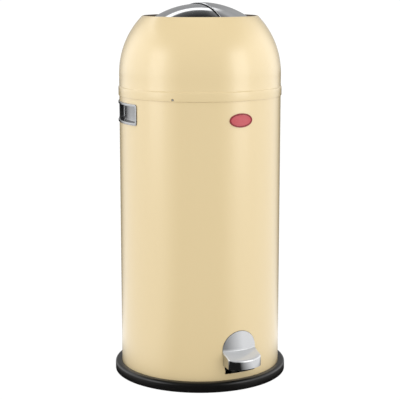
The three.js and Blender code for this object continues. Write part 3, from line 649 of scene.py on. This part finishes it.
def hoodProfile():
    beadCentre, openingZ, centreZ = hoodNumbers()
    edge = beadCentre + hood["bead"]
    inner, snug, band, low = drumRadius - hood["wall"], drumRadius + gap, hoodHigh.x, hoodLow.z
    beadZ = openingZ - hood["beadSink"]
    rollZ = beadZ - hood["roll"]
    domeStop = math.degrees(math.acos(edge / drumRadius))
    innerStop = math.degrees(math.acos((edge - 1.1 * mm) / inner))
    start = rounded([
        (snug, low, 0.3 * mm), (band, low, 0.7 * mm), (band, drumTop + 1.2 * mm, 1.0 * mm),
        (drumRadius, drumTop + 2.8 * mm, 1.2 * mm), (drumRadius, centreZ, 0)], 4)[:-1]
    return (start + arcPoints(0, centreZ, drumRadius, 0, domeStop, 30)
            + arcPoints(beadCentre, beadZ, hood["bead"], 45, 180, 10)
            + [Vector((hood["opening"], rollZ)), Vector((hood["opening"] + hood["wall"], rollZ))]
            + arcPoints(beadCentre, beadZ, hood["bead"] - hood["wall"], 180, 45, 8)
            + arcPoints(0, centreZ, inner, innerStop, 0, 24)
            + [Vector((inner, drumTop + 1.3 * mm)), Vector((snug, drumTop + gap))])


def paintInsideShade(dome):
    # painted shade: the inside of the dome, from the roll of the opening inwards, is painted dark brown to
    # stand in for the shade that falls inside the hood
    beadCentre, openingZ, centreZ = hoodNumbers()
    dome.data.materials.append(insideShade)
    for face in dome.data.polygons:
        middle = face.center
        out = Vector((middle.x, middle.y, middle.z - centreZ if middle.z > centreZ else 0)).normalized()
        inRoll = middle.z > openingZ - 6 * mm and middle.xy.length < beadCentre - 0.4 * mm
        if inRoll or (face.normal.dot(out) < -0.5 and middle.z > drumTop + 4 * mm):
            face.material_index = 1
    dome.data.set_sharp_from_angle(angle=math.radians(32))


def addDimple(dome):
    # a small raised dimple beside the notch
    bm = bmesh.new()
    bmesh.ops.create_uvsphere(bm, u_segments=20, v_segments=12, radius=hood["dimple"])
    bmesh.ops.scale(bm, vec=(1, 0.42, 1), verts=bm.verts)
    bmesh.ops.translate(bm, vec=(0, -(hoodHigh.x - hood["dimpleSink"]), drumTop - hood["dimpleDrop"]),
                        verts=bm.verts)
    turnRoundZ(bm, hood["dimpleAngle"])
    for face in bm.faces:
        face.smooth = True
    bm.from_mesh(dome.data)
    bm.to_mesh(dome.data)
    bm.free()


def makeHood():
    dome = finishPiece("hoodDome", spun(hoodProfile(), 192), "hood", ["hood_dome"], cream)
    radius = hood["notch"]
    notch = arcPoints(0, 0, radius, 0, 180, 16) + [Vector((-radius, -8 * mm)), Vector((radius, -8 * mm))]
    cutWith(dome, prism(notch, hood["notchAngle"], *hood["notchCut"], hood["notchHeight"]))
    paintInsideShade(dome)
    addDimple(dome)


makeHood()
print("hood is spun")


lids = {"wall": 1 * mm, "hem": 1.1 * mm, "hemSink": 0.95 * mm, "sealOut": 2.0 * mm, "reach": 86.3 * mm,
        "rise": 25 * mm}


def lidCap(topZ, centreZ, rim, cutX, side):
    # half of a thin cap; side is 1 for the right half and -1 for the left one
    wall = lids["wall"]
    radius = topZ - centreZ
    stop = math.degrees(math.acos(rim / radius))
    innerStop = math.degrees(math.acos((rim - wall * 0.5) / (radius - wall)))
    outside = arcPoints(0, centreZ, radius, stop, 90, 28)
    bm = spun(outside + arcPoints(0, centreZ, radius - wall, 90, innerStop, 28), 192)
    bmesh.ops.contextual_create(bm, geom=slicePlane(bm, (cutX, 0, 0), (-side, 0, 0), clear_outer=True))
    return cleanUp(bm)


def archBar(section, centreZ, halfAngle, steps=72):
    # a small section in X and Z at the crown, carried over the arch from front to back
    bm, face = flatOutline(section)
    bmesh.ops.rotate(bm, cent=(0, 0, centreZ), matrix=Matrix.Rotation(-halfAngle, 3, "X"), verts=bm.verts)
    bmesh.ops.spin(bm, geom=[face] + list(face.edges) + list(face.verts), cent=(0, 0, centreZ),
                   axis=(1, 0, 0), angle=2 * halfAngle, steps=steps, use_merge=False)
    return cleanUp(bm)


def makeLids():
    rightLow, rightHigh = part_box("lid_right")
    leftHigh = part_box("lid_left")[1]
    rim, edgeX, wall, hem = rightHigh.x, rightLow.x, lids["wall"], lids["hem"]
    radius = (lids["reach"] ** 2 + lids["rise"] ** 2) / (2 * lids["rise"])
    centreZ = rightHigh.z - radius
    right = lidCap(rightHigh.z, centreZ, rim, edgeX, 1)
    archRadius = math.sqrt(radius ** 2 - edgeX ** 2)
    half = math.acos((rightLow.z - centreZ) / archRadius) - math.radians(0.6)
    hemX, hemZ = edgeX + hem * 0.6, centreZ + archRadius - lids["hemSink"]
    turns = [math.tau * k / 12 for k in range(12)]
    hemSection = [(hemX + hem * math.cos(turn), hemZ + hem * 0.85 * math.sin(turn)) for turn in turns]
    joinInto(right, archBar(hemSection, centreZ, half))
    finishPiece("lidRight", right, "right_wing", ["lid_right"], chrome)
    left = lidCap(leftHigh.z, centreZ, rim, leftHigh.x, -1)
    finishPiece("lidLeft", left, "left_wing", ["lid_left"], chrome)
    outX, inX = edgeX - lids["sealOut"], -0.6 * mm
    top, bottom = leftHigh.z + 0.3 * mm, rightHigh.z - wall - 0.3 * mm
    section = rounded([(outX, top, 0.3 * mm), (inX, top, 0.3 * mm), (inX, bottom, 0.2 * mm),
                       (outX, bottom, 0.2 * mm)], 3)
    seal = archBar(section, centreZ, half - math.radians(1.5))
    finishPiece("lidSeal", seal, "right_wing", ["lid_seal"], rubber)


makeLids()
print("lids are pressed")


pedal = {"wall": 1.5 * mm, "reach": 30 * mm, "nose": 14 * mm, "crease": 70 * mm, "drop": 10 * mm,
         "skirtRoot": 45.5 * mm, "skirtNose": 43 * mm, "fold": 3.2 * mm, "creaseFold": 2.4 * mm,
         "tuck": 2.5 * mm, "stockDepth": 100 * mm, "shieldOut": 0.9 * mm, "rows": 26, "foldRows": 9,
         "columns": 48}
treadSlope = math.atan(pedal["drop"] / pedal["reach"])


def treadZ(y):
    return pedal["crease"] - pedal["drop"] * (-y - drumRadius) / pedal["reach"]


def makeTread(half):
    # tread and skirt: a D in plan, sloped on top, with the fold rounded while it is still solid
    bend, nose, stock = -drumRadius - pedal["reach"] + pedal["nose"], pedal["nose"], pedal["stockDepth"]
    turns = [math.pi * k / 48 for k in range(49)]
    plan = ([(-half, -stock)] + [(-half * math.cos(turn), bend - nose * math.sin(turn)) for turn in turns]
            + [(half, -stock)])
    bm = bmesh.new()
    pushOut(bm, [bm.faces.new([bm.verts.new((x, y, 0)) for x, y in plan])], (0, 0, stock))
    cleanUp(bm)
    rim = slicePlane(bm, (0, -drumRadius, pedal["crease"]), (0, -math.sin(treadSlope), math.cos(treadSlope)),
                     clear_outer=True)
    bmesh.ops.contextual_create(bm, geom=rim)
    cleanUp(bm)
    fold = [e for e in bm.edges if all(v.co.z > 0.04 for v in e.verts) and e.calc_face_angle(0) > 0.9
            and abs(e.verts[0].co.z - e.verts[1].co.z) < 0.02 and not all(v.co.y > -0.101 for v in e.verts)]
    roundEdges(bm, fold, pedal["fold"], 7)
    cleanUp(bm)
    fall = math.atan((pedal["skirtRoot"] - pedal["skirtNose"]) / pedal["reach"])
    slicePlane(bm, (0, -drumRadius, pedal["skirtRoot"]), (0, -math.sin(fall), math.cos(fall)),
               clear_inner=True)
    slicePlane(bm, (0, -drumRadius + pedal["tuck"], 0), (0, 1, 0), clear_outer=True)
    bmesh.ops.solidify(bm, geom=bm.faces[:], thickness=pedal["wall"])
    return cleanUp(bm)


def makeShield(half):
    # the shield follows the drum and folds out into the tread
    bm = bmesh.new()
    rows, foldRows = pedal["rows"], pedal["foldRows"]
    bmesh.ops.create_grid(bm, x_segments=pedal["columns"], y_segments=rows, size=1)
    centreZ = pedalHigh.z - half
    outRadius = drumRadius + pedal["shieldOut"]
    for v in bm.verts:
        turn = v.co.x * math.pi / 2
        row = round((v.co.y + 1) / 2 * rows)
        across = half * math.sin(turn)
        topZ = centreZ + half * math.cos(turn)
        wallY = -math.sqrt(outRadius ** 2 - across ** 2)
        base = treadZ(wallY) + 0.05 * mm
        fold = min(pedal["creaseFold"], (topZ - base) * 0.5)
        if row >= foldRows:
            rise = (row - foldRows) / (rows - foldRows)
            v.co = Vector((across, wallY, base + fold + (topZ - base - fold) * rise))
        elif row > 0:
            bent = (math.pi / 2 - treadSlope) * (foldRows - row) / (foldRows - 1)
            v.co = Vector((across, wallY - fold * (1 - math.cos(bent)), base + fold * (1 - math.sin(bent))))
        else:
            v.co = Vector((across, wallY - fold * 2.6, treadZ(wallY - fold * 2.6) - 0.4 * mm))
    bmesh.ops.recalc_face_normals(bm, faces=bm.faces)
    middle = min(bm.faces, key=lambda f: abs(f.calc_center_median().x) - f.calc_center_median().z)
    if middle.normal.y > 0:
        bmesh.ops.reverse_faces(bm, faces=bm.faces)
    bmesh.ops.solidify(bm, geom=bm.faces[:], thickness=pedal["wall"])
    return cleanUp(bm)


def makePedal():
    bm = makeTread(pedalHigh.x)
    joinInto(bm, makeShield(pedalHigh.x))
    makeTreadSatin(pedalChrome, pedal["crease"], -drumRadius, pedal["drop"] / pedal["reach"])
    plate = finishPiece("pedalPlate", bm, "pedal", ["pedal_plate"], pedalChrome, 40)
    bevelCorners(plate, 0.35 * mm, 60)


makePedal()
print("pedal is folded")


def makeGrip():
    width, tall, rim, corner = sideGrip["width"], sideGrip["tall"], sideGrip["rim"], sideGrip["corner"]
    mouth = boxOutline(width - 2 * rim, tall - 2 * rim, corner - 1 * mm)
    bm = flatRing(boxOutline(width, tall, corner + 1 * mm), mouth, sideGrip["proud"],
                  sideGrip["roundFront"], 5)
    rollRound(bm, drumRadius + gap, sideGrip["angle"], sideGrip["height"])
    finishPiece("gripFrame", bm, "drum", ["grip_frame"], gripChrome)

    depth = sideGrip["depth"]
    cup, face = flatOutline(mouth)
    pushOut(cup, [face], (0, -depth, 0))
    cleanUp(cup)
    bmesh.ops.delete(cup, geom=[max(cup.faces, key=lambda f: f.calc_center_median().y)], context="FACES_ONLY")
    floorEdges = [e for e in cup.edges if len(e.link_faces) == 2
                  and all(v.co.y < -depth * 0.9 for v in e.verts)]
    roundEdges(cup, floorEdges, sideGrip["roundFloor"], 6)
    rollRound(cup, drumRadius + 0.2 * mm, sideGrip["angle"], sideGrip["height"])
    # the open sheet faces the fingers, and its thickness goes inwards
    floorFace = min(cup.faces, key=lambda f: f.calc_center_median().xy.length)
    if floorFace.normal.dot(Vector((*floorFace.calc_center_median().xy, 0))) < 0:
        bmesh.ops.reverse_faces(cup, faces=cup.faces)
    bmesh.ops.solidify(cup, geom=cup.faces[:], thickness=sideGrip["wall"])
    finishPiece("gripCup", cleanUp(cup), "drum", ["grip_cup"], cupChrome, 40)


makeGrip()
print("side grip is pressed")


badge = {"width": 46 * mm, "tall": 25 * mm, "rim": 2.6 * mm, "proud": 1.3 * mm, "field": 0.8 * mm,
         "height": 492 * mm, "roundFront": 0.5 * mm, "play": 0.5 * mm}


def ovalOutline(inset, count=56):
    wide, tall = (badge["width"] - inset) / 2, (badge["tall"] - inset) / 2
    turns = [math.tau * k / count for k in range(count)]
    return [Vector((wide * math.cos(turn), tall * math.sin(turn))) for turn in turns]


def makeBadge():
    frameRing = flatRing(ovalOutline(0), ovalOutline(2 * badge["rim"]), badge["proud"],
                         badge["roundFront"], 3)
    rollRound(frameRing, drumRadius + gap, 0, badge["height"])
    finishPiece("badgeFrame", frameRing, "drum", ["badge_frame"], darkRedEnamel)
    inlay, face = flatOutline(ovalOutline(2 * badge["rim"] + badge["play"]))
    pushOut(inlay, [face], (0, badge["field"], 0))
    cleanUp(inlay)
    rollRound(inlay, drumRadius + gap, 0, badge["height"])
    finishPiece("badgeInlay", inlay, "drum", ["badge_inlay"], redEnamel)


makeBadge()
print("badge is enamelled")


liner = {"wall": 0.8 * mm, "rim": 3.5 * mm, "roll": 2.2 * mm, "foot": 6 * mm, "dish": 1.4 * mm,
         "ribs": (160 * mm, 330 * mm, 490 * mm), "ribDepth": 0.9 * mm, "ribHeight": 7 * mm}


def makeLiner():
    # a deep-drawn bucket: rolled rim, three swaged rings in the wall and a dished floor
    low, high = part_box("liner_bucket")
    radius = high.x - liner["rim"]
    wall, roll, foot = liner["wall"], liner["roll"], liner["foot"]
    bottom, dish = low.z, low.z + liner["dish"]
    outside = [Vector((radius - liner["ribDepth"] * math.sin(math.pi * k / 8) ** 2,
                       z + liner["ribHeight"] * (k / 8 - 0.5))) for z in liner["ribs"] for k in range(9)]
    inside = [Vector((p.x - wall, p.y)) for p in reversed(outside)]
    edge = arcPoints(high.x - roll, high.z - roll, roll, -150, 150, 20)
    edge.append(Vector((radius - wall, high.z - 3 * mm)))
    under = rounded([(nearAxis, dish, 0), (radius * 0.86, dish, 2 * mm), (radius * 0.9, bottom, 2 * mm),
                     (radius, bottom, foot), (radius, bottom + 20 * mm, 0)], 6)
    floor = rounded([(radius - wall, bottom + 20 * mm, 0), (radius - wall, bottom + wall, foot - wall),
                     (radius * 0.9, bottom + wall, 2 * mm), (radius * 0.86, dish + wall, 2 * mm),
                     (nearAxis, dish + wall, 0)], 6)
    bucket = spun(under + outside + edge + inside + floor, 144)
    finishPiece("linerBucket", bucket, "liner", ["liner_bucket"], zinc)


def tube(node, points, radius, body, sides=16):
    # a round steel wire along a path
    name = pieceName(node)
    curve = bpy.data.curves.new(name, "CURVE")
    curve.dimensions = "3D"
    curve.bevel_depth = radius
    curve.bevel_resolution = sides // 4
    curve.use_fill_caps = True
    line = curve.splines.new("POLY")
    line.points.add(len(points) - 1)
    for place, p in zip(line.points, points):
        place.co = (*p, 1)
    wire = bpy.data.objects.new(name, curve)
    scene.collection.objects.link(wire)
    bpy.context.view_layer.update()
    mesh = bpy.data.meshes.new_from_object(wire.evaluated_get(bpy.context.evaluated_depsgraph_get()))
    bpy.data.objects.remove(wire)
    bpy.data.curves.remove(curve)
    bm = bmesh.new()
    bm.from_mesh(mesh)
    bpy.data.meshes.remove(mesh)
    return finishPiece(name, cleanUp(bm, 1e-5), body, [node], drawnSteel, 40)


bail = {"wire": 2 * mm, "depth": 118 * mm, "grip": 5.5 * mm, "gripArc": 40, "ridges": 9, "ridge": 0.1,
        "stub": 3 * mm, "rings": 96, "sides": 24}


def bowPoint(degrees, half, height):
    turn = math.radians(degrees)
    return Vector((half * math.cos(turn), bail["depth"] * math.sin(turn), height))


def makeBailGrip(half, height, side):
    # a moulded sleeve with finger ridges
    start, arc, up = 90 - bail["gripArc"] / 2, bail["gripArc"], Vector((0, 0, 1))
    bm = bmesh.new()
    rings = []
    for k in range(bail["rings"] + 1):
        t = k / bail["rings"]
        here = bowPoint(start + arc * t, half, height)
        along = (bowPoint(start + arc * t + 0.1, half, height) - here).normalized()
        across = along.cross(up).normalized()
        swell = bail["grip"] * (1 - bail["ridge"] * (0.5 + 0.5 * math.cos(math.tau * bail["ridges"] * t)))
        swell *= min(1, 0.6 + 0.4 * min(1, min(t, 1 - t) * 25))
        turns = [math.tau * j / bail["sides"] for j in range(bail["sides"])]
        ring = [bm.verts.new(here + (across * math.cos(turn) + up * math.sin(turn)) * swell)
                for turn in turns]
        rings.append([bm.edges.new(pair) for pair in zip(ring, ring[1:] + ring[:1])])
    for first, second in zip(rings, rings[1:]):
        bmesh.ops.bridge_loops(bm, edges=first + second)
    for cap in (rings[0], rings[-1]):
        bmesh.ops.contextual_create(bm, geom=cap)
    for v in bm.verts:
        v.co.y *= side
    finishPiece("bailGrip", cleanUp(bm), "bail", ["bail_grip"], blackPlastic, 50)


def makeBail():
    low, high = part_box("bail_hoop")
    half = high.x - bail["wire"]
    height = (low.z + high.z) / 2
    side = 1 if high.y > -low.y else -1
    bow = [bowPoint(2 * k, half, height) for k in range(1, 90)]
    stubX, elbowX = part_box("bail_ear_right")[0].x - bail["stub"], half - 2 * mm
    path = ([Vector((stubX, 0, height)), Vector((elbowX, 0, height))] + bow
            + [Vector((-elbowX, 0, height)), Vector((-stubX, 0, height))])
    tube("bail_hoop", [Vector((p.x, p.y * side, p.z)) for p in path], bail["wire"], "bail")
    makeBailGrip(half, height, side)


makeLiner()
makeBail()
print("liner and bail are made")


turnTo = {"X": Matrix.Rotation(math.pi / 2, 3, "Y"), "Y": Matrix.Rotation(-math.pi / 2, 3, "X"),
          "Z": Matrix.Identity(3)}
pins = {"neck": 1.5, "pivotHead": 2 * mm, "driveHead": 1.5 * mm, "locatorRadius": 1.8 * mm,
        "locatorIn": 2.4 * mm, "locatorOut": 1.9 * mm, "locatorSink": 0.1 * mm}


def bar(node, axis, centre, steps, body, chamfer=0.35 * mm):
    # a turned steel bar: steps are (radius, from, to) along an axis
    outline = [Vector((barAxis, steps[0][1]))]
    for radius, start, end in steps:
        outline += [Vector((radius - chamfer, start)), Vector((radius, start + chamfer)),
                    Vector((radius, end - chamfer)), Vector((radius - chamfer, end))]
    outline.append(Vector((barAxis, steps[-1][2])))
    bm = spun(outline, 40)
    bmesh.ops.rotate(bm, cent=(0, 0, 0), matrix=turnTo[axis], verts=bm.verts)
    bmesh.ops.translate(bm, vec=centre, verts=bm.verts)
    return finishPiece(pieceName(node), cleanUp(bm), body, [node], drawnSteel, 30)


def boxMiddle(node):
    low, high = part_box(node)
    return low, high, (low + high) / 2


def makeBars():
    low, high, mid = boxMiddle("pedal_axle")
    bar("pedal_axle", "X", (0, mid.y, mid.z), [((high.z - low.z) / 2, low.x, high.x)], "drum")
    low, high, mid = boxMiddle("push_rod")
    bar("push_rod", "Z", (mid.x, mid.y, 0), [((high.x - low.x) / 2, low.z, high.z)], "rod", 0.8 * mm)
    for node, side in (("pivot_pin_front", -1), ("pivot_pin_rear", 1)):
        low, high, mid = boxMiddle(node)
        near, far = sorted((abs(low.y), abs(high.y)))
        radius, shoulder = (high.x - low.x) / 2, near + pins["pivotHead"]
        steps = [(radius, near, shoulder), (radius / pins["neck"], shoulder, far)]
        if side < 0:
            steps = [(r, -b, -a) for r, a, b in reversed(steps)]
        bar(node, "Y", (mid.x, 0, mid.z), steps, "hood")
    for node in ("drive_pin_left", "drive_pin_right"):
        low, high, mid = boxMiddle(node)
        radius, shoulder = (high.x - low.x) / 2, high.y - pins["driveHead"]
        steps = [(radius / pins["neck"], low.y, shoulder), (radius, shoulder, high.y)]
        bar(node, "Y", (mid.x, 0, mid.z), steps, "lifter")
    # the locating pin stands out of the drum, so it is turned on Z and then laid along the radius
    mid = boxMiddle("locating_pin")[2]
    out = Vector((mid.x, mid.y, 0)).normalized()
    steps = [(pins["locatorRadius"], -pins["locatorIn"], pins["locatorOut"])]
    pin = bar("locating_pin", "Z", (0, 0, 0), steps, "drum", 0.7 * mm)
    foot = out * (drumRadius - pins["locatorSink"]) + Vector((0, 0, mid.z))
    pin.data.transform(Matrix.Translation(foot) @ out.to_track_quat("Z", "Y").to_matrix().to_4x4())


makeBars()
print("pins and rods are turned")


def softened(node, body, material, width):
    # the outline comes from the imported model, its corners are rounded
    bm = bmesh.new()
    bm.from_mesh(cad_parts[node].data)
    bmesh.ops.remove_doubles(bm, verts=bm.verts, dist=1e-6)
    bmesh.ops.dissolve_limit(bm, angle_limit=math.radians(1), verts=bm.verts, edges=bm.edges)
    bevelCorners(finishPiece(pieceName(node), cleanUp(bm), body, [node], material, 40), width, 35)


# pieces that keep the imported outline, with the width of their rounded corners
pressedPieces = [
    (["liner_platform"], "drum", "black_plastic", blackPlastic, 0.8 * mm),
    (["pedal_bracket_left", "pedal_bracket_right"], "drum", "plain_steel", pressedSteel, 0.35 * mm),
    (["axle_clip_left", "axle_clip_right"], "drum", "plain_steel", pressedSteel, 0.2 * mm),
    (["rod_guide_lower", "rod_guide_upper"], "drum", "nylon", nylon, 0.4 * mm),
    (["pedal_lever"], "pedal", "plain_steel", pressedSteel, 0.5 * mm),
    (["pedal_rivet_left", "pedal_rivet_right"], "pedal", "plain_steel", drawnSteel, 0.3 * mm),
    (["rod_foot"], "rod", "nylon", nylon, 0.6 * mm),
    (["rod_collar"], "rod", "plain_steel", drawnSteel, 0.4 * mm),
    (["hinge_bracket_front", "hinge_bracket_rear"], "hood", "zinc_steel", zinc, 0.4 * mm),
    (["pivot_spacer_front", "pivot_spacer_rear"], "hood", "nylon", nylon, 0.2 * mm),
    (["crosshead"], "lifter", "zinc_steel", zinc, 0.4 * mm),
    (["lid_right_front_ear", "lid_right_rear_crank"], "right_wing", "plain_steel", pressedSteel, 0.4 * mm),
    (["lid_left_front_ear", "lid_left_rear_crank"], "left_wing", "plain_steel", pressedSteel, 0.4 * mm),
    (["bail_ear_left", "bail_ear_right"], "liner", "plain_steel", pressedSteel, 0.3 * mm),
]

for pressedNodes, bodyName, pressedSlot, pressedMaterial, cornerWidth in pressedPieces:
    for pressedNode in pressedNodes:
        softened(pressedNode, bodyName, pressedMaterial, cornerWidth)


spring = {"wire": 0.6 * mm, "turns": 7, "closed": 0.75, "pitch": 1.25, "steps": 26, "pressed": 0.59}


def makeSpring():
    # open coils between closed ends
    low, high, mid = boxMiddle("return_spring")
    wire, flat, turns = spring["wire"], spring["closed"], spring["turns"]
    radius = (high.x - low.x) / 2 - wire
    bottom, length = low.z + wire, high.z - low.z - 2 * wire
    closed = spring["pitch"] * wire * flat
    points = []
    for k in range(turns * spring["steps"] + 1):
        t = k / spring["steps"]
        if t < flat:
            rise = spring["pitch"] * wire * t
        elif t > turns - flat:
            rise = length - spring["pitch"] * wire * (turns - t)
        else:
            rise = closed + (length - 2 * closed) * (t - flat) / (turns - 2 * flat)
        x, y = radius * math.cos(math.tau * t), radius * math.sin(math.tau * t)
        points.append(Vector((mid.x + x, mid.y + y, bottom + rise)))
    coil = tube("return_spring", points, wire, "drum", 12)
    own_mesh(coil)


makeSpring()
print("pressed pieces are finished")
